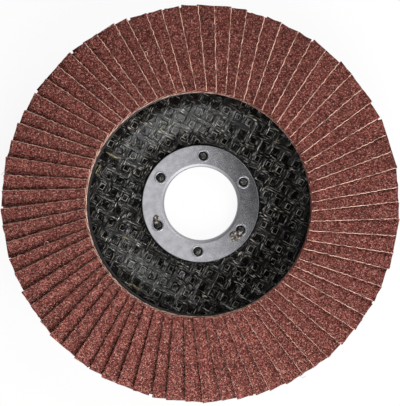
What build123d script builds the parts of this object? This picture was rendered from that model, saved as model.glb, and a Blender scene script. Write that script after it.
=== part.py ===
from build123d import *
import os
from math import asin, atan2, cos, degrees, radians, sin, sqrt, tan

# A flap disc for a 115 mm angle grinder, lying on the back of its hub with
# the working face up.  The origin is the middle of the arbor bore, on the
# back face of the hub, and +Z is the disc's axis.  All lengths are in mm.

# Steel ring: one pressed sheet, a flat flange with a collar through the hub
bore_radius = 22.23 / 2
sheet_thickness = 0.6
collar_bend = 0.3
mouth_facets = 2
ring_radius = 17.6
ring_edge_chamfer = 0.15
rivet_hole_count = 6
rivet_hole_circle = 14.4
rivet_hole_radius = 1.38
rivet_hole_rim = 0.3
rivet_hole_turn = 86.8

# Backing plate: glass cloth and resin, pressed with a sunken hub.  Each bend
# is pressed to one narrow facet.
hub_radius = 22.0
hub_thickness = 3.2
cone_run = 7.5
depression = 5.0
rim_thickness = 2.8
rim_radius = 54.5
press_bend = 3.0
plate_edge_chamfer = 0.5
collar_clearance = 0.1
mouth_clearance = 0.1
resin_plug_height = 0.3
resin_plug_clearance = 0.05

# Glass cloth in the front of the plate: flat strands both ways, standing out
# of the resin that fills the windows between them.  An offset is how far the
# middle of the nearest strand lies from the axis.
warp_angle = -28
warp_pitch = 4.15
warp_offset = 1.3
weft_pitch = 3.7
weft_offset = -0.55
strand_width = 2.3
window_depth = 0.25
cloth_margin = 0.6

# Adhesive bed between the plate and the flaps
bed_thickness = 1.5
bed_inner_radius = 33.0
bed_setback = 0.6
bed_chamfer = 0.3

# Flaps of coated abrasive cloth
flap_count = 72
flaps_per_node = 2
flap_width = 15.5
flap_thickness = 0.8
flap_gap = 0.03
flap_inset = 0.3
flap_overhang = 3.7
flap_lead = 5.3
flap_start = 1.15

# Heights and radii that follow from the driving sizes
ring_top = hub_thickness + sheet_thickness
collar_radius = bore_radius + sheet_thickness
plate_bore_radius = collar_radius + collar_clearance
cone_radius = hub_radius + cone_run
rim_top = depression + rim_thickness
bed_top = rim_top + bed_thickness
bed_outer_radius = rim_radius - bed_setback
cone_angle = atan2(rim_top - hub_thickness, cone_run)
hub_back_radius = hub_radius + hub_thickness * tan(cone_angle / 2)
cone_back_radius = cone_radius + rim_thickness * tan(cone_angle / 2)
cloth_inner_radius = ring_radius + cloth_margin
cloth_outer_radius = bed_inner_radius - cloth_margin
flap_inner = bed_inner_radius - flap_inset
flap_length = rim_radius + flap_overhang - flap_inner

# Neighbouring flaps are turned by one pitch, and come closest at their inner
# ends.  The lean that lets a flap lie on the next one there follows from that.
flap_pitch = 360 / flap_count
inner_pitch = 2 * flap_inner * tan(radians(flap_pitch) / 2)
flap_lean = asin((flap_thickness + flap_gap) / inner_pitch)

os.makedirs("parts", exist_ok=True)

# Backing plate
mouth_chamfer = collar_bend + mouth_clearance
plug_radius = rivet_hole_radius - resin_plug_clearance


def pressed_points(start, low, high, end):
    """Corners of a pressed surface in section, with one facet at each bend."""
    level = Vector(1, 0)
    slope = (high - low).normalized()
    reach = press_bend * tan(cone_angle / 2)
    foot = [low - level * reach, low + slope * reach]
    brow = [high - slope * reach, high + level * reach]
    return [start, *foot, *brow, end]


front_points = pressed_points(
    Vector(plate_bore_radius + mouth_chamfer, hub_thickness),
    Vector(hub_radius, hub_thickness),
    Vector(cone_radius, rim_top),
    Vector(rim_radius, rim_top),
)
back_points = pressed_points(
    Vector(plate_bore_radius, 0),
    Vector(hub_back_radius, 0),
    Vector(cone_back_radius, depression),
    Vector(rim_radius - plate_edge_chamfer, depression),
)
mouth_point = Vector(plate_bore_radius, hub_thickness - mouth_chamfer)
edge_point = Vector(rim_radius, depression + plate_edge_chamfer)

# Windows of the cloth, as a grid turned to the warp, kept where a whole
# window lies between the ring and the adhesive
warp = Vector(cos(radians(warp_angle)), sin(radians(warp_angle)), 0)
weft = Vector(-warp.Y, warp.X, 0)
window_length = weft_pitch - strand_width
window_width = warp_pitch - strand_width
half_diagonal = sqrt(window_length**2 + window_width**2) / 2


def window_plane(middle):
    """The plane that touches the plate's front at a window, facing out."""
    radius = middle.length
    start, end = next(
        pair for pair in zip(front_points, front_points[1:]) if radius <= pair[1].X
    )
    slope = atan2(end.Y - start.Y, end.X - start.X)
    height = start.Y + (radius - start.X) * tan(slope)
    normal = Vector(0, 0, cos(slope)) - middle / radius * sin(slope)
    return Plane(
        origin=middle + Vector(0, 0, height) - normal * window_depth,
        x_dir=warp - normal * warp.dot(normal),
        z_dir=normal,
    )


window_planes = []
rows = int(cloth_outer_radius / warp_pitch) + 2
columns = int(cloth_outer_radius / weft_pitch) + 2
for row in range(-rows, rows):
    across_warp = warp_offset + (row + 0.5) * warp_pitch
    for column in range(-columns, columns):
        middle = warp * (weft_offset + (column + 0.5) * weft_pitch) + weft * across_warp
        if middle.length - half_diagonal < cloth_inner_radius:
            continue
        if middle.length + half_diagonal > cloth_outer_radius:
            continue
        window_planes.append(window_plane(middle))

with BuildPart() as backing_plate:
    with BuildSketch(Plane.XZ):
        with BuildLine():
            Polyline(*front_points, edge_point, *reversed(back_points), mouth_point, close=True)
        make_face()
    revolve(axis=Axis.Z)
    with BuildSketch(Plane.XY.offset(hub_thickness)):
        with PolarLocations(rivet_hole_circle, rivet_hole_count, rivet_hole_turn):
            Circle(plug_radius)
    extrude(amount=resin_plug_height)
    with Locations(*window_planes):
        Box(
            window_length,
            window_width,
            rim_thickness,
            align=(Align.CENTER, Align.CENTER, Align.MIN),
            mode=Mode.SUBTRACT,
        )
backing_plate.part.label = "backing_plate"
export_step(backing_plate.part, "parts/backing_plate.step")

# Steel ring, pressed from one sheet, its mouth rolled over in a few facets
mouth_radius = collar_bend + sheet_thickness
mouth_turns = [radians(90 * step / mouth_facets) for step in range(mouth_facets + 1)]
mouth_points = [
    Vector(
        bore_radius + mouth_radius * (1 - cos(turn)),
        ring_top - mouth_radius * (1 - sin(turn)),
    )
    for turn in mouth_turns
]

with BuildPart() as hub_ring:
    with BuildSketch(Plane.XZ):
        with BuildLine():
            Polyline(
                (bore_radius, 0),
                *mouth_points,
                (ring_radius - ring_edge_chamfer, ring_top),
                (ring_radius, ring_top - ring_edge_chamfer),
                (ring_radius, hub_thickness),
                (collar_radius + collar_bend, hub_thickness),
                (collar_radius, hub_thickness - collar_bend),
                (collar_radius, 0),
                close=True,
            )
        make_face()
    revolve(axis=Axis.Z)
    with Locations(Plane.XY.offset(ring_top)):
        with PolarLocations(rivet_hole_circle, rivet_hole_count, rivet_hole_turn):
            CounterSinkHole(
                rivet_hole_radius,
                rivet_hole_radius + rivet_hole_rim,
                depth=2 * sheet_thickness,
                counter_sink_angle=90,
            )
hub_ring.part.label = "hub_ring"
export_step(hub_ring.part, "parts/hub_ring.step")

# Adhesive bed, level on top so that the feet of the flaps stand flat on it
with BuildPart() as adhesive_bed:
    with BuildSketch(Plane.XY.offset(rim_top)):
        Circle(bed_outer_radius)
        Circle(bed_inner_radius, mode=Mode.SUBTRACT)
    extrude(amount=bed_thickness)
    chamfer(edges().group_by(Axis.Z)[-1], bed_chamfer)
adhesive_bed.part.label = "adhesive_bed"
export_step(adhesive_bed.part, "parts/adhesive_bed.step")

# Flaps.  The section of a flap is a leaning strip of cloth whose low side is
# cut level where it stands in the adhesive.  Its free edge is the high one.
foot = flap_thickness / sin(flap_lean)
slope_length = flap_width - flap_thickness / tan(flap_lean)
up_slope = Vector(-cos(flap_lean), sin(flap_lean))
off_slope = Vector(sin(flap_lean), cos(flap_lean))
free_side = -flap_lead - flap_thickness * sin(flap_lean)
heel = Vector(free_side + slope_length * cos(flap_lean), bed_top)
toe = heel + Vector(foot, 0)
low_corner = heel + up_slope * slope_length
high_corner = low_corner + off_slope * flap_thickness


def flap_plane(number):
    """The upright plane that a flap starts from, facing away from the axis."""
    turn = radians(flap_start + number * flap_pitch)
    outward = Vector(cos(turn), sin(turn), 0)
    return Plane(origin=outward * flap_inner, x_dir=(-sin(turn), cos(turn), 0), z_dir=outward)


for node, first in enumerate(range(0, flap_count, flaps_per_node), start=1):
    with BuildPart() as flaps:
        for number in range(first, min(first + flaps_per_node, flap_count)):
            with BuildSketch(flap_plane(number)):
                with BuildLine():
                    Polyline(heel, toe, high_corner, low_corner, close=True)
                make_face()
            extrude(amount=flap_length)
    flaps.part.label = f"flap_pair_{node:02d}"
    export_step(flaps.part, f"parts/flap_pair_{node:02d}.step")

tip_radius = sqrt((flap_inner + flap_length) ** 2 + flap_lead**2)
print("flap lean", round(degrees(flap_lean), 2), "tip radius", round(tip_radius, 2))
print("overall height", round(high_corner.Y, 2))
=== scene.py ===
# %% [markdown]
# # A flap disc
# A flap disc is a small grinding tool: a black plate of woven glass and
# resin, a steel ring in its middle, and a ring of abrasive cloth flaps glued
# round it. The solid model gives every piece its place. This script loads
# it, makes the pieces that need cloth, weave and glue, and gives each surface
# a finish made from nodes.

# %% Load the solid model
import math
import random
from types import SimpleNamespace

import bmesh
import bpy
from mathutils import Matrix, Vector, noise


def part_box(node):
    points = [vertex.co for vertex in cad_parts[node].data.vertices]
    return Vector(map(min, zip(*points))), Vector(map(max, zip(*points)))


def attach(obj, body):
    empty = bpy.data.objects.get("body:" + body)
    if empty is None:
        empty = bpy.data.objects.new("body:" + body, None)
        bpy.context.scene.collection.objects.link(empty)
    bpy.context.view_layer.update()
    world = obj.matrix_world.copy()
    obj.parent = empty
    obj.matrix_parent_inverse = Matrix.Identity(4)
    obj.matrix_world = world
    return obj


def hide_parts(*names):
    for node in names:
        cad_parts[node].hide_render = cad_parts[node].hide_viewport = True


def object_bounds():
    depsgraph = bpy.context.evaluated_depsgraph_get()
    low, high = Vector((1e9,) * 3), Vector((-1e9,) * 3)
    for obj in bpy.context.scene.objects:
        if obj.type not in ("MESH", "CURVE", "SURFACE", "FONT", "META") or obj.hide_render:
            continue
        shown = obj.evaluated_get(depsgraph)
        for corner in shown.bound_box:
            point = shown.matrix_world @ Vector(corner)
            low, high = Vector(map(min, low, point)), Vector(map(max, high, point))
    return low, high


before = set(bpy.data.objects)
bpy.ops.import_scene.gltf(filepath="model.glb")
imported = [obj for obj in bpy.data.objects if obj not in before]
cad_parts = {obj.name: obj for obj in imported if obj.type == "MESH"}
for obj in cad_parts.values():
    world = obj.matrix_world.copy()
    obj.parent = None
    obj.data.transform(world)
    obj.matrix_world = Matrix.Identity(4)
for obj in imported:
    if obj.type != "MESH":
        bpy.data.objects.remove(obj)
cad_box = [list(corner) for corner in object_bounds()]
print("solid model, in metres:", cad_box)

# %% [markdown]
# ## Sizes
# Blender works in metres. Writing sizes in millimetres and multiplying by
# one constant keeps them easy to read against a real disc. The sizes that the
# solid model already holds are read from its boxes, so they can't disagree.
# The lead is how far a flap's free edge lies ahead of its radius, and the
# stack is the room that one flap takes up in the row.

# %% Sizes read from the solid model
MM = 0.001
plate_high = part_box("backing_plate")[1]
ring_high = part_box("hub_ring")[1]
bed_low, bed_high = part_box("adhesive_bed")
flap_nodes = sorted(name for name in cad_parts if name.startswith("flap_pair_"))

PLATE_RADIUS = plate_high.x
RIM_TOP = bed_low.z
BED_TOP = bed_high.z
RING_RADIUS = ring_high.x
RING_TOP = ring_high.z
print("plate radius", round(PLATE_RADIUS / MM, 2), "mm, ring", round(RING_RADIUS / MM, 2), "mm")

# %% Sizes of the flaps
FLAPS_PER_NODE = 2
FLAP_COUNT = FLAPS_PER_NODE * len(flap_nodes)
FLAP_PITCH = 360 / FLAP_COUNT
FLAP_START = 1.15
FLAP_WIDTH = 15.5 * MM
FLAP_LENGTH = 25.5 * MM
FLAP_STACK = 0.8 * MM
FLAP_CLOTH = 0.72 * MM
FLAP_GAP = 0.03 * MM
FLAP_INNER = 32.7 * MM
FLAP_LEAD = 5.3 * MM
print(FLAP_COUNT, "flaps, one every", FLAP_PITCH, "degrees")

# %% [markdown]
# ## Camera
# The camera looks almost straight down on the working face, from a little
# to the right of the middle and a little above it, so that the cut ends of the
# flaps show as a thin pale line on the far side of the hole. Its turn is set
# from three directions at right angles to each other, because a "track to"
# constraint is unsure of its up direction when it looks straight down. The
# lens follows from how much of the image the disc fills.

# %% Camera
IMAGE_SIDE = 406
DISC_PIXELS = 199.2
TIP_RADIUS = math.hypot(FLAP_INNER + FLAP_LENGTH, FLAP_LEAD)
DISC_TOP = cad_box[1][2]
EYE = Vector((11, 11, 400)) * MM
TARGET = Vector((0.15, 0.5, DISC_TOP / MM)) * MM
SENSOR_WIDTH = 36

camera_data = bpy.data.cameras.new("camera")
camera = bpy.data.objects.new("camera", camera_data)
bpy.context.scene.collection.objects.link(camera)
camera.location = EYE
ahead = (TARGET - EYE).normalized()
right = ahead.cross(Vector((0, 1, 0))).normalized()
upward = right.cross(ahead)
camera.rotation_euler = Matrix((right, upward, -ahead)).transposed().to_euler()
camera_data.sensor_width = SENSOR_WIDTH
filled = DISC_PIXELS / IMAGE_SIDE
camera_data.lens = SENSOR_WIDTH * filled * (EYE - TARGET).length / TIP_RADIUS
camera_data.clip_start = 10 * MM
camera_data.clip_end = 10
bpy.context.scene.camera = camera
bpy.context.scene.view_settings.view_transform = "Standard"
print("lens", round(camera_data.lens, 1), "mm")

# %% [markdown]
# ## Two helpers for every piece
# Each piece below follows the same road: a bmesh is shaped, becomes a mesh,
# gets its materials and is linked to the scene. Each material starts from an
# empty node tree. Writing both steps once keeps the pieces easy to compare.

# %% Helpers for pieces and materials


def new_material(name):
    """A material and its node tree, which is still empty."""
    material = bpy.data.materials.new(name)
    material.use_nodes = True
    material.node_tree.nodes.clear()
    return material, material.node_tree


def new_piece(name, bm, materials):
    """Turns a bmesh into an object at the origin, with its materials."""
    mesh = bpy.data.meshes.new(name)
    bm.to_mesh(mesh)
    bm.free()
    for material in materials:
        mesh.materials.append(material)
    piece = bpy.data.objects.new(name, mesh)
    bpy.context.scene.collection.objects.link(piece)
    return piece


print("helpers for pieces ready")

# %% [markdown]
# ## Floor
# A product is shown on a white ground with a faint soft shadow. A lamp
# bright enough to turn a floor white would also burn out the pale steel, so
# the floor is a plain pale diffuse surface for the light, and mostly plain
# white for the camera. The little that is left of the diffuse part keeps the
# shadow.

# %% Floor
FLOOR_SIDE = 3.0
FLOOR_GREY = 0.85
WHITE_SHARE = 0.92


def seen_directly(tree):
    """One for camera, mirror and glass rays, and nothing for the light's own."""
    path = tree.nodes.new("ShaderNodeLightPath")
    seen = path.outputs["Is Camera Ray"]
    for ray in ("Is Glossy Ray", "Is Transmission Ray"):
        either = tree.nodes.new("ShaderNodeMath")
        either.operation = "MAXIMUM"
        tree.links.new(seen, either.inputs[0])
        tree.links.new(path.outputs[ray], either.inputs[1])
        seen = either.outputs[0]
    return seen


def mix_with_white(tree, share, dull, white, output):
    """Shows white by a share, and the dull shader for the rest."""
    mix = tree.nodes.new("ShaderNodeMixShader")
    tree.links.new(share, mix.inputs[0])
    tree.links.new(dull.outputs[0], mix.inputs[1])
    tree.links.new(white.outputs[0], mix.inputs[2])
    tree.links.new(mix.outputs[0], output.inputs["Surface"])


floor_paper, tree = new_material("pale floor")
output = tree.nodes.new("ShaderNodeOutputMaterial")
paper = tree.nodes.new("ShaderNodeBsdfDiffuse")
paper.inputs["Color"].default_value = (FLOOR_GREY, FLOOR_GREY, FLOOR_GREY, 1)
white = tree.nodes.new("ShaderNodeEmission")
share = tree.nodes.new("ShaderNodeMath")
share.operation = "MULTIPLY"
share.inputs[1].default_value = WHITE_SHARE
tree.links.new(seen_directly(tree), share.inputs[0])
mix_with_white(tree, share.outputs[0], paper, white, output)

bm = bmesh.new()
bmesh.ops.create_grid(bm, x_segments=1, y_segments=1, size=FLOOR_SIDE / 2)
new_piece("floor", bm, [floor_paper])
print("floor", FLOOR_SIDE, "m square at the height of the hub's back")

# %% [markdown]
# ## World
# The world is plain white to the camera alone. The surfaces, and what they
# mirror, see only a weak, slightly warm sky. That matters here: black resin
# keeps its depth, and the steel its dark side, only when little light comes
# from everywhere at once.

# %% World
SKY_COLOUR = (1.0, 0.99, 0.98, 1)
SKY_STRENGTH = 0.045

world = bpy.data.worlds.new("studio")
bpy.context.scene.world = world
world.use_nodes = True
tree = world.node_tree
tree.nodes.clear()
output = tree.nodes.new("ShaderNodeOutputWorld")
ambient = tree.nodes.new("ShaderNodeBackground")
ambient.inputs["Color"].default_value = SKY_COLOUR
ambient.inputs["Strength"].default_value = SKY_STRENGTH
white = tree.nodes.new("ShaderNodeBackground")
path = tree.nodes.new("ShaderNodeLightPath")
mix_with_white(tree, path.outputs["Is Camera Ray"], ambient, white, output)
print("sky strength", SKY_STRENGTH)

# %% [markdown]
# ## Lamps
# Two soft square lamps stand low beside the disc, the stronger one towards
# -Y and the weaker one towards +X and +Y. Low light catches the edge of each
# flap and the strands of the weave. A weak lamp overhead, a little towards -X,
# is there for the flat steel ring: the ring mirrors it into the camera on that
# side and falls dark on the other.

# %% Lamps


def lamp(name, place, size, power, turn=None):
    """A square soft lamp in metres, aimed at the disc, or down and turned."""
    data = bpy.data.lights.new(name, "AREA")
    data.shape = "SQUARE"
    data.size = size
    data.energy = power
    made = bpy.data.objects.new(name, data)
    made.location = place
    made.rotation_euler = (-Vector(place)).to_track_quat("-Z", "Y").to_euler()
    if turn is not None:
        made.rotation_euler = (0, 0, turn)
    bpy.context.scene.collection.objects.link(made)


lamp("key lamp", (0.09, -0.255, 0.185), 0.27, 1.7)
lamp("second lamp", (0.195, 0.21, 0.24), 0.19, 0.95)
lamp("overhead lamp", (-0.0985, -0.0264, 0.5), 0.2, 0.09, math.radians(15))
print("three lamps")

# %% [markdown]
# ## Node helpers
# A finish is a small tree of nodes. Most of them start from the object's
# own coordinates, so that a pattern stays where it is when the disc is moved.
# A noise's scale counts its features per metre, so 500 means one feature
# every 2 mm. These helpers keep each finish short enough to read.

# %% Colours


def linear(red, green, blue):
    """A colour as a screen shows it, 0 to 255, in Blender's linear light."""

    def one(value):
        value /= 255
        return value / 12.92 if value <= 0.04045 else ((value + 0.055) / 1.055) ** 2.4

    return one(red), one(green), one(blue), 1.0


def grey(level):
    """A plain number as a grey colour, for a ramp's stops."""
    return level, level, level, 1


print("screen grey 128 is", round(linear(128, 128, 128)[0], 3), "in linear light")

# %% Patterns


def object_space(tree, scale=(1, 1, 1), turn=(0, 0, 0)):
    """The object's coordinates, turned and stretched by a Mapping node."""
    coordinates = tree.nodes.new("ShaderNodeTexCoord")
    mapping = tree.nodes.new("ShaderNodeMapping")
    mapping.inputs["Scale"].default_value = scale
    mapping.inputs["Rotation"].default_value = turn
    tree.links.new(coordinates.outputs["Object"], mapping.inputs["Vector"])
    return mapping.outputs["Vector"]


def noise_at(tree, vector, scale, detail=2.0):
    """A noise texture's value."""
    texture = tree.nodes.new("ShaderNodeTexNoise")
    texture.inputs["Scale"].default_value = scale
    texture.inputs["Detail"].default_value = detail
    tree.links.new(vector, texture.inputs["Vector"])
    return texture.outputs["Fac"]


def cells_at(tree, vector, size, randomness=1.0):
    """A Voronoi texture whose cells are about one size across, in metres."""
    texture = tree.nodes.new("ShaderNodeTexVoronoi")
    texture.inputs["Scale"].default_value = 1 / size
    texture.inputs["Randomness"].default_value = randomness
    tree.links.new(vector, texture.inputs["Vector"])
    return texture.outputs


def painted_tone(tree):
    """The tone that the mesh itself carries, one colour for each vertex; on the strands it holds
    painted shade and a painted highlight.
    """
    tone = tree.nodes.new("ShaderNodeAttribute")
    tone.attribute_name = "tone"
    return tone.outputs["Color"]


print("pattern helpers ready")

# %% Mixing


def ramp(tree, value, stops):
    """A colour ramp through (position, colour) stops."""
    made = tree.nodes.new("ShaderNodeValToRGB")
    band = made.color_ramp
    while len(band.elements) < len(stops):
        band.elements.new(0.5)
    for element, (position, colour) in zip(band.elements, stops):
        element.position = position
        element.color = colour
    tree.links.new(value, made.inputs["Fac"])
    return made.outputs["Color"]


def feed(tree, value, socket):
    """Links a socket to a socket, or writes a plain value into it."""
    if hasattr(value, "is_linked"):
        tree.links.new(value, socket)
    else:
        socket.default_value = value


def mixed(tree, share, first, second, blend="MIX"):
    """Two colours mixed by a share, each a socket or a colour."""
    # A Mix node lists its colours last: 6 and 7 on the way in, 2 on the way out.
    made = tree.nodes.new("ShaderNodeMix")
    made.data_type = "RGBA"
    made.blend_type = blend
    feed(tree, share, made.inputs[0])
    feed(tree, first, made.inputs[6])
    feed(tree, second, made.inputs[7])
    return made.outputs[2]


def multiplied(tree, first, second):
    """Two colours multiplied, which darkens one by the other."""
    return mixed(tree, 1.0, first, second, "MULTIPLY")


print("mixing helpers ready")

# %% Bump and shader


def bump(tree, height, distance, strength=1.0, normal=None, invert=False):
    """A bump of the given depth in metres, on top of an earlier one if given."""
    made = tree.nodes.new("ShaderNodeBump")
    made.invert = invert
    made.inputs["Strength"].default_value = strength
    made.inputs["Distance"].default_value = distance
    tree.links.new(height, made.inputs["Height"])
    if normal:
        tree.links.new(normal, made.inputs["Normal"])
    return made.outputs["Normal"]


def surface(tree, colour, roughness, metallic=0.0, specular=0.5, normal=None):
    """The shader itself. Colour and roughness may be sockets or values."""
    shader = tree.nodes.new("ShaderNodeBsdfPrincipled")
    shader.inputs["Metallic"].default_value = metallic
    shader.inputs["Specular IOR Level"].default_value = specular
    feed(tree, colour, shader.inputs["Base Color"])
    feed(tree, roughness, shader.inputs["Roughness"])
    if normal:
        tree.links.new(normal, shader.inputs["Normal"])
    output = tree.nodes.new("ShaderNodeOutputMaterial")
    tree.links.new(shader.outputs[0], output.inputs["Surface"])


print("shader helpers ready")

# %% [markdown]
# ## Abrasive grain
# Coated cloth is covered in sharp grains of aluminium oxide, a quarter to
# half a millimetre across, set in red-brown resin. Modelling them would take
# millions of faces. A Voronoi texture is a good start for grains instead: it
# cuts space into cells, each with its own random colour, and the distance to
# the cell's middle makes a bump. Two sizes of cell, and a slow noise for dust
# and thin patches, keep it from looking stamped.

# %% Finish of the flap faces
GRAIN_SIZE = 0.38 * MM
FINE_GRAIN_SIZE = 0.26 * MM
GRAIN_DEPTH = 0.2 * MM
FINE_GRAIN_DEPTH = 0.1 * MM
FINE_SHARE = 0.45
DUST_SCALE = 140
GRAIN_COLOURS = [
    (0.0, linear(34, 10, 7)),
    (0.3, linear(90, 31, 25)),
    (0.6, linear(132, 67, 58)),
    (0.85, linear(168, 102, 90)),
    (1.0, linear(208, 155, 142)),
]
PAINTED_PIT_SHADE = [(0.45, grey(1)), (0.75, (0.35, 0.3, 0.3, 1))]
DUST_SHADES = [(0.3, (0.93, 0.95, 0.93, 1)), (0.7, (1.08, 1.05, 1.07, 1))]


def grain_colour(tree, cells):
    """One of the grain colours for each cell, by the cell's random red."""
    split = tree.nodes.new("ShaderNodeSeparateColor")
    tree.links.new(cells["Color"], split.inputs["Color"])
    return ramp(tree, split.outputs["Red"], GRAIN_COLOURS)


def grain_finish():
    """Red-brown grain, lighter on the grains' tops, with painted shade between them."""
    material, tree = new_material("abrasive grain")
    place = object_space(tree)
    coarse = cells_at(tree, place, GRAIN_SIZE)
    fine = cells_at(tree, place, FINE_GRAIN_SIZE)
    coarse_colour = grain_colour(tree, coarse)
    fine_colour = grain_colour(tree, fine)
    grains = mixed(tree, FINE_SHARE, coarse_colour, fine_colour)
    # Painted shade: the grain is darkened where the cells meet, between the grains.
    grains = multiplied(tree, grains, ramp(tree, coarse["Distance"], PAINTED_PIT_SHADE))
    dust = noise_at(tree, place, DUST_SCALE, detail=3.0)
    dusty = multiplied(tree, grains, ramp(tree, dust, DUST_SHADES))
    toned = multiplied(tree, dusty, painted_tone(tree))
    normal = bump(tree, coarse["Distance"], GRAIN_DEPTH, invert=True)
    normal = bump(tree, fine["Distance"], FINE_GRAIN_DEPTH, normal=normal, invert=True)
    surface(tree, toned, roughness=0.78, specular=0.25, normal=normal)
    return material


grain_material = grain_finish()
print("grain of", GRAIN_SIZE / MM, "and", FINE_GRAIN_SIZE / MM, "mm")

# %% [markdown]
# ## Cut cloth
# Where a flap is cut, the cotton shows: pale cream threads, pinkish where
# the resin has soaked in. A fine noise gives the ends of the threads, and a
# slower one breaks the pale line up, because grinding dust and resin cover
# parts of it.

# %% Finish of the cut edges
THREAD_SCALE = 2600
THREAD_DEPTH = 0.08 * MM
WORN_SCALE = 620
THREAD_COLOURS = [
    (0.32, linear(142, 98, 86)),
    (0.5, linear(206, 172, 156)),
    (0.72, linear(238, 214, 200)),
]
WORN_SHADES = [(0.38, (0.4, 0.33, 0.3, 1)), (0.56, (1.3, 1.26, 1.22, 1))]


def cut_edge_finish():
    """Cream cotton with a speckle of threads and resin."""
    material, tree = new_material("cut cloth edge")
    place = object_space(tree)
    threads = noise_at(tree, place, THREAD_SCALE)
    colour = ramp(tree, threads, THREAD_COLOURS)
    worn = noise_at(tree, place, WORN_SCALE)
    colour = multiplied(tree, colour, ramp(tree, worn, WORN_SHADES))
    normal = bump(tree, threads, THREAD_DEPTH)
    surface(tree, colour, roughness=0.9, normal=normal)
    return material


edge_material = cut_edge_finish()
print("cut edges with a thread every", round(1 / THREAD_SCALE / MM, 2), "mm")

# %% [markdown]
# ## Back of the cloth
# The back of a flap is bare cloth, brown with size. A Voronoi texture with
# little randomness keeps its cells almost in rows, which is enough for a plain
# weave that is only ever seen in the shadow between two flaps.

# %% Finish of the backs
CLOTH_THREAD = 0.5 * MM
WEAVE_DEPTH = 0.1 * MM
STAIN_SCALE = 220
STAIN_COLOURS = [(0.3, linear(112, 66, 52)), (0.7, linear(152, 100, 82))]


def cloth_back_finish():
    """Brown sized cloth with a plain weave in it."""
    material, tree = new_material("cloth back")
    place = object_space(tree)
    weave = cells_at(tree, place, CLOTH_THREAD, randomness=0.25)
    stains = noise_at(tree, place, STAIN_SCALE, detail=3.0)
    colour = ramp(tree, stains, STAIN_COLOURS)
    normal = bump(tree, weave["Distance"], WEAVE_DEPTH, strength=0.8, invert=True)
    surface(tree, colour, roughness=0.85, normal=normal)
    return material


back_material = cloth_back_finish()
print("backs with a thread every", CLOTH_THREAD / MM, "mm")

# %% [markdown]
# ## How a flap leans
# Each flap is a strip of thick cloth that leans on the next one, like a
# fallen row of books. Near the hole there is the least room between two flaps,
# so the lean is the angle at which a flap and its gap just fit there. The toe
# is where the leaning strip meets the glue.

# %% How a flap leans
inner_pitch = 2 * FLAP_INNER * math.tan(math.radians(FLAP_PITCH) / 2)
LEAN = math.asin((FLAP_STACK + FLAP_GAP) / inner_pitch)
toe_along = -FLAP_LEAD + FLAP_WIDTH * math.cos(LEAN)
free_edge = FLAP_WIDTH * math.sin(LEAN)
print("lean", round(math.degrees(LEAN), 2), "degrees, free edge", round(free_edge / MM, 2), "mm up")

# %% [markdown]
# ## What makes each flap its own
# Flaps are laid by a fast machine, so no two lie alike. A seeded random
# source gives each one a small turn, shift, skew, lift and tone, and the same
# ones each time the script runs. The ring of flaps also sits a little off the
# middle, which shows at its inner ends.

# %% What makes each flap its own
TURN_SPREAD = 0.55
SHIFT_SPREAD = 0.34 * MM
SKEW_SPREAD = 0.014
LIFT_MOST = 0.3 * MM
LIFT_SHARES = (0.1, 1.0)
TONES = (0.93, 1.07)
RING_TRIM = 0.4 * MM
RING_SHIFT = 0.5 * MM
RING_SHIFT_ANGLE = math.radians(195)
FRINGE = 0.06 * MM
FRINGE_SWING = 0.8
FRINGE_ANGLE = math.radians(205)
SEED_STEP = 0.37
chance = random.Random(11)


def heading(angle):
    """The level direction at an angle."""
    return Vector((math.cos(angle), math.sin(angle), 0))


def square_to(angle):
    """The level direction a quarter turn on from an angle."""
    return Vector((-math.sin(angle), math.cos(angle), 0))


def flap_habits(number):
    """How one flap differs from the plan, and the directions that it keeps."""
    nominal = math.radians(FLAP_START + number * FLAP_PITCH)
    turn = nominal + math.radians(chance.uniform(-TURN_SPREAD, TURN_SPREAD))
    level = square_to(nominal)
    return SimpleNamespace(
        seed=number * SEED_STEP,
        shift=chance.uniform(-SHIFT_SPREAD, SHIFT_SPREAD),
        skew=chance.uniform(-SKEW_SPREAD, SKEW_SPREAD),
        lift=chance.uniform(*LIFT_SHARES) ** 2 * LIFT_MOST,
        tone=chance.uniform(*TONES),
        inner_shift=RING_TRIM + RING_SHIFT * math.cos(nominal - RING_SHIFT_ANGLE),
        fringe=FRINGE * (1 + FRINGE_SWING * math.cos(nominal - FRINGE_ANGLE)),
        outward=heading(turn),
        sideways=square_to(turn),
        level=level,
        slope_off=level * math.sin(LEAN) + Vector((0, 0, math.cos(LEAN))),
    )


print("flaps turn by up to", TURN_SPREAD, "degrees and lift by up to", LIFT_MOST / MM, "mm")

# %% [markdown]
# ## The top of a flap
# The top is one formula from two shares, down the slope and out along the
# flap, to a place in space. The straight strip comes first. Smooth noise then
# makes the free edge and the ends wavy, as a rough cut through stiff cloth is,
# and bows the face a little. Both waves fade out away from the edges.

# %% The top of a flap
WAVE_LENGTH = 0.85 * MM
EDGE_WAVE = 0.26 * MM
EDGE_FADE = 5
END_WAVE = 0.12 * MM
END_FADE = 6
END_SEED = 0.01
FACE_WAVE = 0.05 * MM
FACE_STRETCH = 0.4
SKEW_PIVOT = 0.2


def wave(*place):
    """Smooth noise between -1 and 1 at a place given in metres."""
    return noise.noise(Vector(place) / WAVE_LENGTH)


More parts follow.
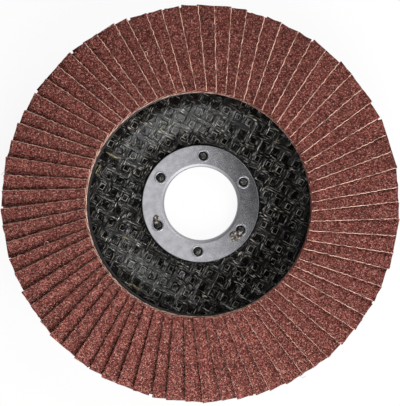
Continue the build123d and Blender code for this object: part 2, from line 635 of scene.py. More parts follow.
def flap_top(flap, down, out):
    """The place of a point of the top, from its shares down and out."""
    near_edge = max(0.0, 1 - down * EDGE_FADE)
    near_end = max(0.0, 1 - END_FADE * min(out, 1 - out))
    along = -FLAP_LEAD + down * FLAP_WIDTH * math.cos(LEAN)
    along += near_edge * EDGE_WAVE * wave(flap.seed, out * FLAP_LENGTH, 0)
    along += flap.skew * (out - SKEW_PIVOT) * FLAP_LENGTH
    reach = FLAP_INNER + flap.inner_shift * (1 - out) + flap.shift * out + out * FLAP_LENGTH
    reach += near_end * END_WAVE * wave(flap.seed, down * FLAP_WIDTH, END_SEED)
    plan = flap.sideways * along + flap.outward * reach
    rise = (toe_along - plan.dot(flap.level)) * math.tan(LEAN)
    # The lift grows towards the tip and fades down the slope.
    rise += flap.lift * out**2 * (1 - down) ** 4
    rise += FACE_WAVE * out * (1 - down) * wave(flap.seed, along, reach * FACE_STRETCH)
    return plan + Vector((0, 0, BED_TOP + max(rise, 0)))


print("free edge waves by up to", EDGE_WAVE / MM, "mm")

# %% [markdown]
# ## Frayed threads
# A few cotton threads stand out of the cut edges. Each is a thin grid, one
# face wide, bent along an arc: bending a strip by a formula is quicker than a
# curve with a bevel, and gives a flat thread, as a pulled thread is.

# %% Frayed threads
# Number of the flap, and how far out along it the thread stands.
FRAYS = {23: 0.5, 27: 0.33, 35: 0.96, 40: 0.47, 61: 0.97}
FRAY_LENGTH = 2.4 * MM
FRAY_WIDTH = 0.16 * MM
FRAY_LIFT = 0.05 * MM
FRAY_CLIMB = 0.12 * MM
FRAY_STEPS = 12
FRAY_ROWS = 0.6
FRAY_BEND = (0.4, 2.6)
FRAY_UNEVEN = 0.8
FRAY_CURL = 0.7
FRAY_REACH = 0.45


def faces_of(verts):
    """The faces that touch these vertices, each once and in order."""
    return list(dict.fromkeys(face for vert in verts for face in vert.link_faces))


def add_fray(bm, start, outward, aside, seed):
    """A loose cotton thread at a cut edge: a thin strip bent into a curl."""
    strip = bmesh.ops.create_grid(bm, x_segments=1, y_segments=FRAY_STEPS, size=0.5)["verts"]
    for vert in strip:
        run, width = vert.co.y + 0.5, vert.co.x * FRAY_WIDTH
        uneven = FRAY_UNEVEN * noise.noise(Vector((seed, run * 2, 0)))
        turn = FRAY_BEND[0] + FRAY_BEND[1] * run + uneven
        curl = aside * math.sin(turn) + outward * (1 - math.cos(turn)) * FRAY_CURL
        reach = FRAY_LENGTH * curl * FRAY_REACH
        vert.co = start + reach + outward * width * math.cos(turn) - aside * width * math.sin(turn)
        vert.co.z += FRAY_CLIMB * run
    return faces_of(strip)


print(len(FRAYS), "flaps with a frayed thread")

# %% [markdown]
# ## One flap
# The top starts as a grid, with its rows crowded towards the free edge,
# where the waves are. Its points are laid by the formula above. One extrusion
# then pulls the whole face down into a slab of cloth. Where the slab would go
# into the glue it is cut level, and its inner end gets a short fringe.

# %% One flap
ACROSS = 12
CROWD = 1.7
ALONG = 46
INNER_ROW = 0.001
FRINGE_UNEVEN = 0.6
FRINGE_DETAIL = 2


def thicken(bm, top, flap, fringe_layer):
    """Pulls the top down into a slab and returns the slab's lower faces."""
    lowered = bmesh.ops.extrude_face_region(bm, geom=top)["geom"]
    for vert in lowered:
        if not isinstance(vert, bmesh.types.BMVert):
            continue
        vert.co -= flap.slope_off * FLAP_CLOTH
        if vert.co.z < BED_TOP:
            too_low = (BED_TOP - vert.co.z) / math.cos(LEAN)
            vert.co += flap.slope_off * min(too_low, FLAP_CLOTH)
        uneven = 1 + FRINGE_UNEVEN * wave(flap.seed, *(vert.co.xy * FRINGE_DETAIL))
        vert.co -= flap.outward * vert[fringe_layer] * flap.fringe * uneven
    return [item for item in lowered if isinstance(item, bmesh.types.BMFace)]


def add_flap(bm, number, tone_layer, fringe_layer):
    """Adds one flap and returns its faces as (top, bottom, sides)."""
    flap = flap_habits(number)
    fray = FRAYS.get(number)
    verts = bmesh.ops.create_grid(bm, x_segments=ACROSS, y_segments=ALONG, size=0.5)["verts"]
    top = faces_of(verts)
    for vert in verts:
        down, out = (vert.co.x + 0.5) ** CROWD, vert.co.y + 0.5
        vert.co = flap_top(flap, down, out)
        vert[tone_layer] = grey(flap.tone)
        vert[fringe_layer] = 1.0 if out < INNER_ROW else 0.0
        if fray and down == 0 and abs(out - fray) < FRAY_ROWS / ALONG:
            fray_start = vert.co + Vector((0, 0, FRAY_LIFT))
    bottom = thicken(bm, top, flap, fringe_layer)
    inside = set(top)
    sides = [face for face in faces_of(verts) if face not in inside]
    if fray:
        sides += add_fray(bm, fray_start, flap.outward, -flap.sideways, flap.seed)
    return top, bottom, sides


print("each top has", ACROSS, "by", ALONG, "faces")

# %% [markdown]
# ## All the flaps
# Each node of the solid model holds two flaps, and each piece here stands
# for one node. The index of a face's material tells grain, back and cut edge
# apart. The edges between those are marked sharp, so that the smooth shading
# doesn't round the cut.

# %% All the flaps
WELD = 0.01 * MM


def make_flaps(node, first):
    """The cloth flaps that stand for one node of the solid model."""
    bm = bmesh.new()
    tone_layer = bm.verts.layers.float_color.new("tone")
    fringe_layer = bm.verts.layers.float.new("fringe")
    for number in range(first, first + FLAPS_PER_NODE):
        for index, group in enumerate(add_flap(bm, number, tone_layer, fringe_layer)):
            for face in group:
                face.material_index = index
                face.smooth = index < 2
    bmesh.ops.remove_doubles(bm, verts=bm.verts, dist=WELD)
    bmesh.ops.recalc_face_normals(bm, faces=bm.faces)
    for edge in bm.edges:
        edge.smooth = len({face.material_index for face in edge.link_faces}) == 1
    name = node.replace("flap_pair", "cloth_flaps")
    piece = new_piece(name, bm, [grain_material, back_material, edge_material])
    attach(piece, "root")
    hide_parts(node)
    return piece


flap_pieces = [make_flaps(node, index * FLAPS_PER_NODE) for index, node in enumerate(flap_nodes)]
print(len(flap_pieces), "pieces,", sum(len(p.data.polygons) for p in flap_pieces), "faces")

# %% [markdown]
# ## Backing plate
# The plate is pressed from layers of woven glass in black resin: a level
# hub, a cone and a level rim, with rounded bends between them. Front and back
# have the same form, a little apart. Their height is written as a function of
# the radius, because the body, the strands, the beads and the fibres all lie
# on it.

# %% Height of the plate's front and back
HUB_TOP = 3.2 * MM
HUB_RADIUS = 22.0 * MM
CONE_RUN = 7.5 * MM
RIM_THICKNESS = 2.8 * MM
PRESS_BEND = 3.0 * MM
cone_angle = math.atan2(RIM_TOP - HUB_TOP, CONE_RUN)
HUB_BACK_RADIUS = HUB_RADIUS + HUB_TOP * math.tan(cone_angle / 2)
CONE_BACK_RADIUS = HUB_RADIUS + CONE_RUN + RIM_THICKNESS * math.tan(cone_angle / 2)
RIM_BACK = RIM_TOP - RIM_THICKNESS


def pressed(radius, low, high, start, end):
    """Height of a level, a cone and a level, with rounded bends between."""
    slope = (high - low) / (end - start)
    angle = math.atan(slope)
    reach = PRESS_BEND * math.tan(angle / 2)
    if radius <= start - reach:
        return low
    if radius < start + reach * math.cos(angle):
        return low + PRESS_BEND - math.sqrt(PRESS_BEND**2 - (radius - start + reach) ** 2)
    if radius <= end - reach * math.cos(angle):
        return low + (radius - start) * slope
    if radius < end + reach:
        return high - PRESS_BEND + math.sqrt(PRESS_BEND**2 - (end + reach - radius) ** 2)
    return high


def front_height(radius):
    return pressed(radius, HUB_TOP, RIM_TOP, HUB_RADIUS, HUB_RADIUS + CONE_RUN)


def back_height(radius):
    return pressed(radius, 0, RIM_BACK, HUB_BACK_RADIUS, CONE_BACK_RADIUS)


rises = round((RIM_TOP - HUB_TOP) / MM, 2), round(RIM_BACK / MM, 2)
print("the front rises", rises[0], "mm and the back", rises[1], "mm")

# %% [markdown]
# ## Body of the plate
# The body is round, so it is spun: one closed section turned round the
# axis. Its surface is sunk by the depth of the cloth wherever the cloth lies,
# so that the strands have resin under them and don't stand proud.

# %% Body of the plate
PLATE_BORE = 11.815 * MM
BED_INNER = 33.0 * MM
SPIN_STEPS = 180
PROFILE_STEP = 0.9 * MM
PLATE_EDGE = 0.5 * MM
MOUTH_CHAMFER = 0.4 * MM
CLOTH_DEPTH = 0.32 * MM
FRONT_CLOTH = (RING_RADIUS - 0.1 * MM, BED_INNER + 1 * MM)
BACK_CLOTH = (PLATE_BORE + 0.3 * MM, PLATE_RADIUS - 0.2 * MM)


def steps_between(start, end):
    """Radii from start to end, about one profile step apart."""
    count = max(1, round(abs(end - start) / PROFILE_STEP))
    return [start + (end - start) * index / count for index in range(count + 1)]


def sunk(radius, cloth):
    """Depth of the resin under the cloth, which starts and ends with a slope."""
    return CLOTH_DEPTH * max(0.0, min(1.0, (radius - cloth[0]) / MM, (cloth[1] - radius) / MM))


def spun(bm, places, closed, middle, steps):
    """Spins a line of points, closed or open, round an upright axis."""
    verts = [bm.verts.new(place) for place in places]
    ends = verts[1:] + verts[:1] if closed else verts[1:]
    edges = [bm.edges.new(pair) for pair in zip(verts, ends)]
    bmesh.ops.spin(
        bm,
        geom=verts + edges,
        axis=(0, 0, 1),
        cent=middle,
        steps=steps,
        angle=math.tau,
        use_merge=True,
    )


section = []
for radius in steps_between(PLATE_BORE + MOUTH_CHAMFER, PLATE_RADIUS):
    section.append((radius, 0, front_height(radius) - sunk(radius, FRONT_CLOTH)))
section.append((PLATE_RADIUS, 0, RIM_BACK + PLATE_EDGE))
for radius in steps_between(PLATE_RADIUS - PLATE_EDGE, PLATE_BORE):
    section.append((radius, 0, back_height(radius) + sunk(radius, BACK_CLOTH)))
section.append((PLATE_BORE, 0, HUB_TOP - MOUTH_CHAMFER))
plate_bm = bmesh.new()
spun(plate_bm, section, True, (0, 0, 0), SPIN_STEPS)
for face in plate_bm.faces:
    face.smooth = True
print("plate body", len(plate_bm.faces), "faces")

# %% [markdown]
# ## Strands of the weave
# The glass lies half sunk in the resin, in flat strands that pass over and
# under each other. A bump could draw them, but it can't hide one strand behind
# another or catch a low light on a crossing, so they are real strips here. A
# cosine along each strand takes it over and under. Each crossing also tilts a
# little its own way, which is what makes a weave sparkle.

# %% How a strand lies at one point
WARP_PITCH = 4.15 * MM
WARP_OFFSET = 1.3 * MM
WEFT_PITCH = 3.7 * MM
WEFT_OFFSET = -0.55 * MM
WARP_ANGLE = math.radians(-28)
STRAND_RISE = 0.05 * MM
WARP_LIFT = 0.02 * MM
STRAND_CROWN = 0.2 * MM
STRAND_TOP = -0.07 * MM
STRAND_TILT = 0.28
CROSSING_FLATNESS = 1.5
KNUCKLE_STEPS = (1.37, 2.71, 4.1)
KNUCKLE_START = (0.5, 0.3)
TILT_NOISE = Vector((0, 0, 31.4))
TONE_NOISE = Vector((0, 17.7, 0))
MEAN_TONE = 0.82
# Painted shade: a strand is darker where it passes under another.
UNDER_CROSSING_SHADE = 0.18
# Painted shade at the rim of a strand, and a painted highlight just inside it.
EDGE_SHADE_AND_HIGHLIGHT = ((0.9, 0.02), (0.6, 1.6))
MIDDLE_TONE = 0.8
TONE_SPREAD = 1.2


def lane_shade_and_highlight(edge):
    """Painted shade at the rim of a strand, a painted highlight beside it, plain in the middle."""
    for start, tone in EDGE_SHADE_AND_HIGHLIGHT:
        if edge > start:
            return tone
    return MIDDLE_TONE


def strand_lie(strands, row, run, side_share, width):
    """Rise over the plate's face and tone of one point of a strand; the tone holds painted shade
    and a painted highlight.
    """
    place = (run - strands.first_crossed) / strands.crossing
    over = strands.sign * math.cos(math.pi * (place + row))
    over = max(-1.0, min(1.0, CROSSING_FLATNESS * over))
    knuckle = round(place)
    offside = math.cos(math.pi * (place - knuckle)) * max(0.0, over)
    step_x, step_y, step_z = KNUCKLE_STEPS
    seed_x, seed_y = knuckle * step_x + KNUCKLE_START[0], row * step_y + KNUCKLE_START[1]
    seed = Vector((seed_x, seed_y, strands.sign * step_z))
    tilt_along, tilt_across = noise.noise(seed), noise.noise(seed + TILT_NOISE)
    edge = abs(2 * side_share)
    rise = STRAND_TOP + strands.sign * WARP_LIFT + STRAND_RISE * over
    rise -= STRAND_CROWN * edge**5
    rise += STRAND_TILT * tilt_along * (place - knuckle) * strands.crossing * offside
    rise += STRAND_TILT * tilt_across * side_share * width * offside
    # Painted shade where the strand passes under and on its rim, with a painted highlight beside
    # the rim.
    tone = MEAN_TONE + UNDER_CROSSING_SHADE * over
    tone *= 1 + TONE_SPREAD * noise.noise(seed + TONE_NOISE) * max(0.0, over)
    return rise, tone * lane_shade_and_highlight(edge)


print("strands every", WARP_PITCH / MM, "and", WEFT_PITCH / MM, "mm")

# %% [markdown]
# ## Laying the strands
# Each strand is a grid as long as the plate is wide there. The grid is laid
# on the plate's height, and what falls outside the cloth is deleted. A UV map
# that runs along the strand lets the finish draw fibres in that direction.

# %% One set of strands
STRAND_WIDTH = 1.8 * MM
STRAND_WIDTHS = (0.9, 1.08)
STRAND_WANDER = 0.12
STRAND_DRIFT = 0.1 * MM
DRIFT_LENGTH = 9 * MM
DRIFT_STEP = 3.1
SINK_DEPTH = 0.4 * MM
SINK_FADE = (0.7 * MM, 1.0 * MM)
weave_chance = random.Random(5)


def sink(radius, inner, outer):
    """How far a strand lies in the resin near the ends of the cloth, 0 to 1."""
    inside = min(1.0, max(0.0, 1 - (radius - inner) / SINK_FADE[0]))
    outside = min(1.0, max(0.0, 1 - (outer - radius) / SINK_FADE[1]))
    return max(inside, outside)


def add_strands(bm, layers, cloth, strands):
    """Parallel strands that pass over and under the ones that cross them."""
    uv_layer, tone_layer = layers
    lengthwise, across = heading(strands.angle), square_to(strands.angle)
    step, lanes = cloth.steps
    count = int(cloth.outer / strands.pitch) + 1
    for row in range(-count, count + 1):
        wander = weave_chance.uniform(-STRAND_WANDER, STRAND_WANDER) * MM
        offset = strands.first + row * strands.pitch + wander
        width = STRAND_WIDTH * weave_chance.uniform(*STRAND_WIDTHS)
        if abs(offset) >= cloth.outer:
            continue
        half = math.sqrt(cloth.outer**2 - offset**2)
        segments = max(2, round(2 * half / step))
        grid = bmesh.ops.create_grid(bm, x_segments=segments, y_segments=lanes, size=0.5)
        for vert in grid["verts"]:
            run, side_share = vert.co.x * 2 * half, vert.co.y
            along = Vector((run / DRIFT_LENGTH, row * DRIFT_STEP, strands.sign))
            drift = STRAND_DRIFT * noise.noise(along)
            flat = lengthwise * run + across * (offset + drift + side_share * width)
            rise, tone = strand_lie(strands, row, run, side_share, width)
            rise = min(rise, 0) - SINK_DEPTH * sink(flat.length, cloth.inner, cloth.outer)
            height = cloth.height(flat.length) + cloth.side * rise
            vert.co = Vector((flat.x, flat.y, height))
            vert[tone_layer] = grey(tone)
        faces = faces_of(grid["verts"])
        for face in faces:
            face.smooth = True
            face.material_index = 1
            for loop in face.loops:
                spot = loop.vert.co
                loop[uv_layer].uv = (spot.dot(lengthwise) / MM, spot.dot(across) / MM)
        reach = [(face, face.calc_center_median().xy.length) for face in faces]
        gone = [face for face, radius in reach if not cloth.inner < radius < cloth.outer]
        bmesh.ops.delete(bm, geom=gone, context="FACES")
        if cloth.side < 0:
            bmesh.ops.reverse_faces(bm, faces=[face for face in faces if face.is_valid])


print("strands", STRAND_WIDTH / MM, "mm wide")

# %% Cloth on the front and the back
FRONT_STEPS = (0.4 * MM, 8)
BACK_STEPS = (0.7 * MM, 4)

front = SimpleNamespace(height=front_height, side=1, steps=FRONT_STEPS)
front.inner, front.outer = FRONT_CLOTH
back = SimpleNamespace(height=back_height, side=-1, steps=BACK_STEPS)
back.inner, back.outer = BACK_CLOTH
warp = SimpleNamespace(pitch=WARP_PITCH, first=WARP_OFFSET, angle=WARP_ANGLE, sign=1)
warp.crossing, warp.first_crossed = WEFT_PITCH, WEFT_OFFSET
weft_angle = WARP_ANGLE + math.pi / 2
weft = SimpleNamespace(pitch=WEFT_PITCH, first=-WEFT_OFFSET, angle=weft_angle, sign=-1)
weft.crossing, weft.first_crossed = WARP_PITCH, WARP_OFFSET

layers = plate_bm.loops.layers.uv.new("strand"), plate_bm.verts.layers.float_color.new("tone")
for cloth in (front, back):
    for strands in (warp, weft):
        add_strands(plate_bm, layers, cloth, strands)
print("plate with its cloth", len(plate_bm.faces), "faces")

# %% [markdown]
# ## Resin in the windows
# Between four strands there is a small square window, and resin stands in
# it as a low bead with a sunk middle. Three insets of one square face make
# that: up to the crest, along it, and down. The beads are shaped in a bmesh of
# their own and joined at the end, because an operator on a large bmesh is slow.

# %% Resin in the windows
WINDOW_SIDE = 1.75 * MM
WINDOW_SIDES = (0.9, 1.1)
WINDOW_STRETCH = 1.2
WINDOW_WANDER = 0.1
WINDOW_TILT = 0.2
WINDOW_LIFT = 0.03 * MM
WINDOW_ROOM = (0.8 * MM, 1.2 * MM)
BEAD_STEPS = ((0.18 * MM, 0.16 * MM), (0.12 * MM, 0.0), (0.14 * MM, -0.14 * MM))


def wandered(first, number, pitch):
    """The middle of a gap in a row of strands, moved a little by chance."""
    wander = weave_chance.uniform(-WINDOW_WANDER, WINDOW_WANDER) * MM
    return first + (number + 0.5) * pitch + wander


def add_bead(bm, middle, lengthwise, across):
    """One square bead of resin in a window of the front cloth."""
    half = WINDOW_SIDE / 2 * weave_chance.uniform(*WINDOW_SIDES)
    tilt_x = weave_chance.uniform(-WINDOW_TILT, WINDOW_TILT)
    tilt = Vector((tilt_x, weave_chance.uniform(-WINDOW_TILT, WINDOW_TILT)))
    quad = bmesh.ops.create_grid(bm, x_segments=1, y_segments=1, size=half)["verts"]
    for vert in quad:
        flat = middle + lengthwise * vert.co.x + across * vert.co.y * WINDOW_STRETCH
        rise = tilt.dot(vert.co.xy) - CLOTH_DEPTH + WINDOW_LIFT
        vert.co = Vector((flat.x, flat.y, front_height(flat.length) + rise))
    centre = faces_of(quad)
    for index, (thickness, depth) in enumerate(BEAD_STEPS):
        made = bmesh.ops.inset_individual(bm, faces=centre, thickness=thickness, depth=depth)
        # The crest and the inner slope take the bead finish with its painted highlight.
        for face in made["faces"]:
            face.material_index = 2 if index else 0


def add_beads(bm, inner, outer):
    """A bead in each window between two radii."""
    lengthwise, across = heading(WARP_ANGLE), square_to(WARP_ANGLE)
    columns, rows = int(outer / WEFT_PITCH) + 2, int(outer / WARP_PITCH) + 2
    for column in range(-columns, columns):
        for row in range(-rows, rows):
            run = wandered(WEFT_OFFSET, column, WEFT_PITCH)
            side = wandered(WARP_OFFSET, row, WARP_PITCH)
            middle = lengthwise * run + across * side
            if inner < middle.length < outer:
                add_bead(bm, middle, lengthwise, across)


bead_bm = bmesh.new()
bead_bm.loops.layers.uv.new("strand")
bead_bm.verts.layers.float_color.new("tone")
add_beads(bead_bm, front.inner + WINDOW_ROOM[0], front.outer - WINDOW_ROOM[1])
bead_mesh = bpy.data.meshes.new("resin_beads")
bead_bm.to_mesh(bead_mesh)
bead_bm.free()
plate_bm.from_mesh(bead_mesh)
bpy.data.meshes.remove(bead_mesh)
print("windows filled,", len(plate_bm.faces), "faces")

# %% [markdown]
# ## Loose fibres
# Here and there a bundle of fibres has come loose and lies on the cloth,
# yellow because no black resin covers it. Each is a narrow grid that tapers to
# both ends and is draped on the plate's height.

# %% Loose fibres on the weave
FIBRE_STEPS = 14
FIBRE_BEND = 0.25 * MM
FIBRE_LIFT = 0.1 * MM
FIBRE_CROWN = 0.12 * MM
FIBRE_TAPER = 0.8
# Radius in mm, angle in degrees, length and width in mm, turn from the warp.
FIBRES = (
    (30.0, 151, 4.2, 0.5, 0),
    (32.2, 161, 3.4, 0.35, 90),
    (31.4, 232, 4.6, 0.6, 0),
    (31.0, 234, 2.2, 0.2, 80),
    (29.2, 39, 2.6, 0.18, 10),
    (20.8, 310, 2.0, 0.2, 60),
    (25.5, 118, 2.4, 0.2, 75),
    (24.5, 205, 2.8, 0.22, 5),
)


def add_fibre(bm, radius, angle, length, width, turn):
    """One yellowed strand end, draped on the cloth; sizes in mm and degrees."""
    middle = heading(math.radians(angle)) * radius * MM
    lengthwise = heading(WARP_ANGLE + math.radians(turn))
    across = square_to(WARP_ANGLE + math.radians(turn))
    strip = bmesh.ops.create_grid(bm, x_segments=FIBRE_STEPS, y_segments=2, size=0.5)["verts"]
    for vert in strip:
        run, side = vert.co.x, vert.co.y
        bend = FIBRE_BEND * noise.noise(Vector((run * 3, angle, 0)))
        taper = 1 - FIBRE_TAPER * abs(2 * run) ** 3
        flat = middle + lengthwise * run * length * MM + across * (bend + side * width * taper * MM)
        rise = FIBRE_LIFT - FIBRE_CROWN * abs(2 * side) ** 2
        vert.co = Vector((flat.x, flat.y, front_height(flat.length) + rise))
    for face in faces_of(strip):
        face.material_index = 3
        face.smooth = True


for fibre in FIBRES:
    add_fibre(plate_bm, *fibre)
print(len(FIBRES), "fibres")

# %% [markdown]
# ## Black resin
# The resin is black and shines where it is smooth. The same noise drives
# its colour, its roughness and its bump, so that a hollow is darker and
# shinier together, as a pool of resin is.

# %% Finish of the resin
RESIN_LUMPS = 700
RESIN_DEPTH = 0.25 * MM
RESIN_COLOURS = [(0.35, linear(1, 1, 1)), (0.7, linear(6, 6, 6))]
RESIN_ROUGHNESS = [(0.3, grey(0.15)), (0.7, grey(0.3))]


def resin_finish():
    """Black resin, a little uneven, shining where it is smooth."""
    material, tree = new_material("black resin")
    lumps = noise_at(tree, object_space(tree), RESIN_LUMPS, detail=4.0)
    colour = ramp(tree, lumps, RESIN_COLOURS)
    roughness = ramp(tree, lumps, RESIN_ROUGHNESS)
    normal = bump(tree, lumps, RESIN_DEPTH)
    surface(tree, colour, roughness, specular=0.25, normal=normal)
    return material


resin_material = resin_finish()
print("resin with a lump every", round(1 / RESIN_LUMPS / MM, 2), "mm")

# %% [markdown]
# ## Glass strands
# Under a thin coat of resin a strand is grey and streaked along its
# fibres. The streaks come from a noise in the strand's own UV map, stretched
# in one direction. Where the resin is thicker a second noise hides them. The
# tone painted on the mesh puts a painted shade on the rims and where a strand
# passes under, a painted highlight just inside the rims, and a grey of its own
# on each crossing. It also decides which fibres are smooth enough to glint.

# %% Finish of the strands
FIBRE_STRETCH = (0.6, 3.2, 1)
FIBRE_DEPTH = 0.12 * MM
STRAND_LUMPS = 2400
STRAND_DEPTH = 0.1 * MM
STRAND_ROUGHNESS = [(0.15, grey(0.5)), (0.46, grey(0.13))]
PATCH_SCALE = 260
PATCH_SHARES = [(0.42, grey(0)), (0.6, grey(0.65))]
PATCH_COLOUR = linear(5, 5, 5)
STREAK_COLOURS = [
    (0.43, linear(0, 0, 0)),
    (0.54, linear(9, 9, 8)),
    (0.645, linear(160, 155, 148)),
]


def strand_finish():
    """Glass strands under thin resin: grey, streaked along their fibres."""
    material, tree = new_material("glass strand")
    coordinates = tree.nodes.new("ShaderNodeUVMap")
    coordinates.uv_map = "strand"
    mapping = tree.nodes.new("ShaderNodeMapping")
    mapping.inputs["Scale"].default_value = FIBRE_STRETCH
    tree.links.new(coordinates.outputs["UV"], mapping.inputs["Vector"])
    fibres = noise_at(tree, mapping.outputs["Vector"], 1.0, detail=4.0)
    streaks = ramp(tree, fibres, STREAK_COLOURS)
    place = object_space(tree)
    patches = noise_at(tree, place, PATCH_SCALE, detail=3.0)
    hidden = ramp(tree, patches, PATCH_SHARES)
    dark = mixed(tree, hidden, streaks, PATCH_COLOUR)
    tone = painted_tone(tree)
    # The tone brings in the painted shade and painted highlight of the strands.
    shaded = multiplied(tree, dark, tone)
    normal = bump(tree, fibres, FIBRE_DEPTH)
    lumps = noise_at(tree, place, STRAND_LUMPS)
    normal = bump(tree, lumps, STRAND_DEPTH, normal=normal)
    glint = multiplied(tree, tone, fibres)
    roughness = ramp(tree, glint, STRAND_ROUGHNESS)
    surface(tree, shaded, roughness, specular=0.29, normal=normal)
    return material


strand_material = strand_finish()
print("strands in", len(STREAK_COLOURS), "greys")

# %% [markdown]
# ## Beads and loose fibres
# The loose fibres are pale in their own colour. The crest of a bead is pale
# by a painted highlight, and a cloud decides which beads get it, so that they
# come and go over the plate in patches.

# %% Finish of the beads and the fibres
BEAD_HIGHLIGHT_CLOUD = 330
BEAD_HIGHLIGHT_COLOURS = [(0.42, linear(6, 6, 6)), (0.64, linear(150, 146, 138))]
FIBRE_SPECKS = 1500
FIBRE_COLOURS = [(0.35, linear(46, 40, 24)), (0.65, linear(150, 140, 96))]


def bead_highlight_finish():
    """Black resin in the windows, with a painted highlight on the crest of the bead."""
    material, tree = new_material("resin bead painted highlight")
    cloud = noise_at(tree, object_space(tree), BEAD_HIGHLIGHT_CLOUD)
    surface(tree, ramp(tree, cloud, BEAD_HIGHLIGHT_COLOURS), roughness=0.2)
    return material


def fibre_finish():
    """Dry glass fibre, yellowed by the resin."""
    material, tree = new_material("loose fibre")
    specks = noise_at(tree, object_space(tree), FIBRE_SPECKS)
    surface(tree, ramp(tree, specks, FIBRE_COLOURS), roughness=0.7)
    return material


plate_materials = [resin_material, strand_material, bead_highlight_finish(), fibre_finish()]
print(len(plate_materials), "finishes for the plate")

# %% [markdown]
# ## The plate as one piece
# Body, cloth, beads and fibres are one pressed piece, so they become one
# object. Blender can work out which side of the closed body is the outside,
# so the normals of its faces, and of the resin in the windows, are made to
# point that way. The strips were laid the right way round.

# %% The plate as one piece
plate_bm.normal_update()
body_faces = [face for face in plate_bm.faces if face.material_index == 0]
bmesh.ops.recalc_face_normals(plate_bm, faces=body_faces)
plate = new_piece("woven_plate", plate_bm, plate_materials)
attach(plate, "root")
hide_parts("backing_plate")
print("plate finished,", len(plate.data.polygons), "faces")

# %% [markdown]
# ## Steel ring
# The ring comes from the solid model as it is. Zinc plating is a metal
# with a soft shine, faint scratches in every direction and slightly uneven
# grey, so the finish mixes two noises into its roughness and colour. Where the
# sheet turns down into the bore it is duller and painted a darker grey as
# shade, and the true normal tells where.

# %% Finish of the ring
ZINC_CLOUD = 480
ZINC_SCRATCHES = 700
SCRATCH_DEPTH = 0.008 * MM
SCRATCH_STRETCH = (1, 14, 1)
SCRATCH_TURN = (0, 0, 0.6)
ZINC_COLOURS = [(0.36, linear(196, 195, 201)), (0.64, linear(217, 216, 221))]
ZINC_ROUGHNESS = [(0.3, grey(0.1)), (0.7, grey(0.17))]
UNSHADED_LEVEL_SHARES = [(0.94, grey(0)), (0.995, grey(1))]
BORE_BEND_SHADE = linear(168, 168, 172)
BORE_ROUGHNESS = grey(0.6)


def zinc_finish():
    """Zinc-plated sheet steel, with a painted shade on the bend into the bore."""
    material, tree = new_material("zinc plate")
    cloud = noise_at(tree, object_space(tree), ZINC_CLOUD, detail=5.0)
    drawn = object_space(tree, SCRATCH_STRETCH, SCRATCH_TURN)
    scratches = noise_at(tree, drawn, ZINC_SCRATCHES, detail=3.0)
    colour = ramp(tree, cloud, ZINC_COLOURS)
    roughness = ramp(tree, scratches, ZINC_ROUGHNESS)
    normal = bump(tree, scratches, SCRATCH_DEPTH, strength=0.6)
    facing = tree.nodes.new("ShaderNodeNewGeometry")
    split = tree.nodes.new("ShaderNodeSeparateXYZ")
    tree.links.new(facing.outputs["True Normal"], split.inputs[0])
    level = ramp(tree, split.outputs["Z"], UNSHADED_LEVEL_SHARES)
    # Painted shade: the bend down into the bore is a darker grey, chosen by how the surface faces.
    colour = mixed(tree, level, BORE_BEND_SHADE, colour)
    roughness = mixed(tree, level, BORE_ROUGHNESS, roughness)
    surface(tree, colour, roughness, metallic=1.0, normal=normal)
    return material


zinc = zinc_finish()
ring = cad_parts["hub_ring"]
ring.data.materials.clear()
ring.data.materials.append(zinc)
print("ring finished")

# %% [markdown]
# ## Coined rims
# The punch that made each small hole raised a thin bright rim round it. A
# rim is a half circle spun round the hole's own axis, which makes a ring with
# a round back that catches light from every side.

# %% Coined rims of the six holes
HOLE_COUNT = 6
HOLE_CIRCLE = 14.4 * MM
HOLE_TURN = math.radians(86.8)
RIM_RADIUS = 1.72 * MM
RIM_HALF_WIDTH = 0.2 * MM
RIM_HEIGHT = 0.07 * MM
RIM_FOOT = 0.01 * MM
RIM_ARC = 8
RIM_STEPS = 48

hole_angles = [HOLE_TURN + hole * math.tau / HOLE_COUNT for hole in range(HOLE_COUNT)]
rims_bm = bmesh.new()
for angle in hole_angles:
    middle = heading(angle) * HOLE_CIRCLE
    arc = []
    for step in range(RIM_ARC + 1):
        swing = math.pi * step / RIM_ARC
        reach = RIM_RADIUS - RIM_HALF_WIDTH * math.cos(swing)
        height = RING_TOP - RIM_FOOT + RIM_HEIGHT * math.sin(swing)
        arc.append(middle + Vector((reach, 0, height)))
    spun(rims_bm, arc, False, middle, RIM_STEPS)
bmesh.ops.recalc_face_normals(rims_bm, faces=rims_bm.faces)
for face in rims_bm.faces:
    face.smooth = True
rims = new_piece("hole_rims", rims_bm, [zinc])
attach(rims, "root")
print(HOLE_COUNT, "rims")

# %% [markdown]
# ## Resin in the holes
# Resin has welled up through the six holes, and beside two of them it is
# smeared over the steel. Both are flat lumps: a ball squashed by its own
# matrix and pushed about by noise, which is the quickest way to a form with no
# straight line in it.

# %% A lump of resin
LUMP_NOISES = ((1, 0.6 * MM), (0.5, 0.25 * MM))
LUMP_UNEVEN = 0.3
SPECK_SCALE = 1300
SPECK_DEPTH = 0.2 * MM
SPECK_STOPS = (0.42, 0.54, 0.66)


def speckled(name, shades):
    """Resin and glass dust in three speckled shades, from dark to light."""
    material, tree = new_material(name)
    specks = noise_at(tree, object_space(tree), SPECK_SCALE, detail=3.0)
    colour = ramp(tree, specks, list(zip(SPECK_STOPS, shades)))
    normal = bump(tree, specks, SPECK_DEPTH)
    surface(tree, colour, roughness=0.5, normal=normal)
    return material


def add_lump(bm, middle, long, wide, tall, turn, index):
    """A flat lump: a ball squashed, turned and pushed about by noise."""
    size = Matrix.Diagonal((long, wide, tall, 1))
    place = Matrix.Translation(middle) @ Matrix.Rotation(turn, 4, "Z") @ size
    ball = bmesh.ops.create_icosphere(bm, subdivisions=4, radius=1, matrix=place)["verts"]
    for vert in ball:
        away = vert.co - middle
        swell = sum(share * noise.noise(vert.co / length) for share, length in LUMP_NOISES)
        spread = 1 + LUMP_UNEVEN * swell
        vert.co = middle + Vector((away.x * spread, away.y * spread, away.z))
    for face in faces_of(ball):
        face.smooth = True
        face.material_index = index


print("lumps swell by up to", LUMP_UNEVEN, "of their size")

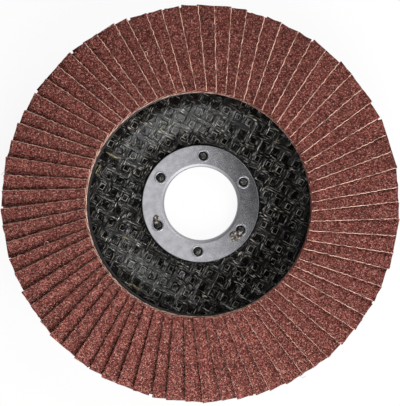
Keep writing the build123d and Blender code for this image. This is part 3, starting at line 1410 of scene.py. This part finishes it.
# %% Plugs and smears
PLUG_RADIUS = 1.05 * MM
PLUG_HEIGHT = 0.3 * MM
SMEAR_HEIGHT = 0.12 * MM
SMEAR_LIFT = 0.01 * MM
PLUG_SHADES = linear(2, 2, 2), linear(12, 12, 11), linear(104, 101, 96)
SMEAR_SHADES = linear(22, 18, 15), linear(96, 86, 78), linear(190, 182, 174)
# Middle x and y, half length and half width in mm, and turn in radians.
SMEARS = (
    (-13.3, -4.7, 1.25, 0.95, 1.7),
    (-13.7, -5.4, 0.7, 0.8, 0.5),
    (10.5, -9.7, 1.6, 1.4, 0.6),
    (9.7, -9.6, 0.9, 1.4, 0.2),
    (11.5, -9.3, 1.1, 1.1, 1.2),
)

resin_bm = bmesh.new()
for angle in hole_angles:
    middle = heading(angle) * HOLE_CIRCLE + Vector((0, 0, HUB_TOP))
    add_lump(resin_bm, middle, PLUG_RADIUS, PLUG_RADIUS, PLUG_HEIGHT, angle, 0)
for x, y, long, wide, turn in SMEARS:
    middle = Vector((x * MM, y * MM, RING_TOP + SMEAR_LIFT))
    add_lump(resin_bm, middle, long * MM, wide * MM, SMEAR_HEIGHT, turn, 1)
plug_material = speckled("resin in the holes", PLUG_SHADES)
smear_material = speckled("smeared resin", SMEAR_SHADES)
smears = new_piece("resin_smears", resin_bm, [plug_material, smear_material])
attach(smears, "root")
print(len(SMEARS), "smears,", HOLE_COUNT, "plugs")

# %% [markdown]
# ## Adhesive
# The flaps stand in a band of cured adhesive, which the solid model already
# has. Only its inner edge shows, as a dull black line, so a rough dark finish
# with large lumps is all that it needs.

# %% Finish of the adhesive
GLUE_LUMPS = 420
GLUE_DEPTH = 0.3 * MM
GLUE_COLOURS = [(0.3, linear(16, 14, 14)), (0.7, linear(40, 36, 35))]


def adhesive_finish():
    """Black cured adhesive, dull and lumpy."""
    material, tree = new_material("adhesive")
    lumps = noise_at(tree, object_space(tree), GLUE_LUMPS, detail=3.0)
    colour = ramp(tree, lumps, GLUE_COLOURS)
    normal = bump(tree, lumps, GLUE_DEPTH)
    surface(tree, colour, roughness=0.55, normal=normal)
    return material


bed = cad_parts["adhesive_bed"]
bed.data.materials.clear()
bed.data.materials.append(adhesive_finish())
print("adhesive finished")
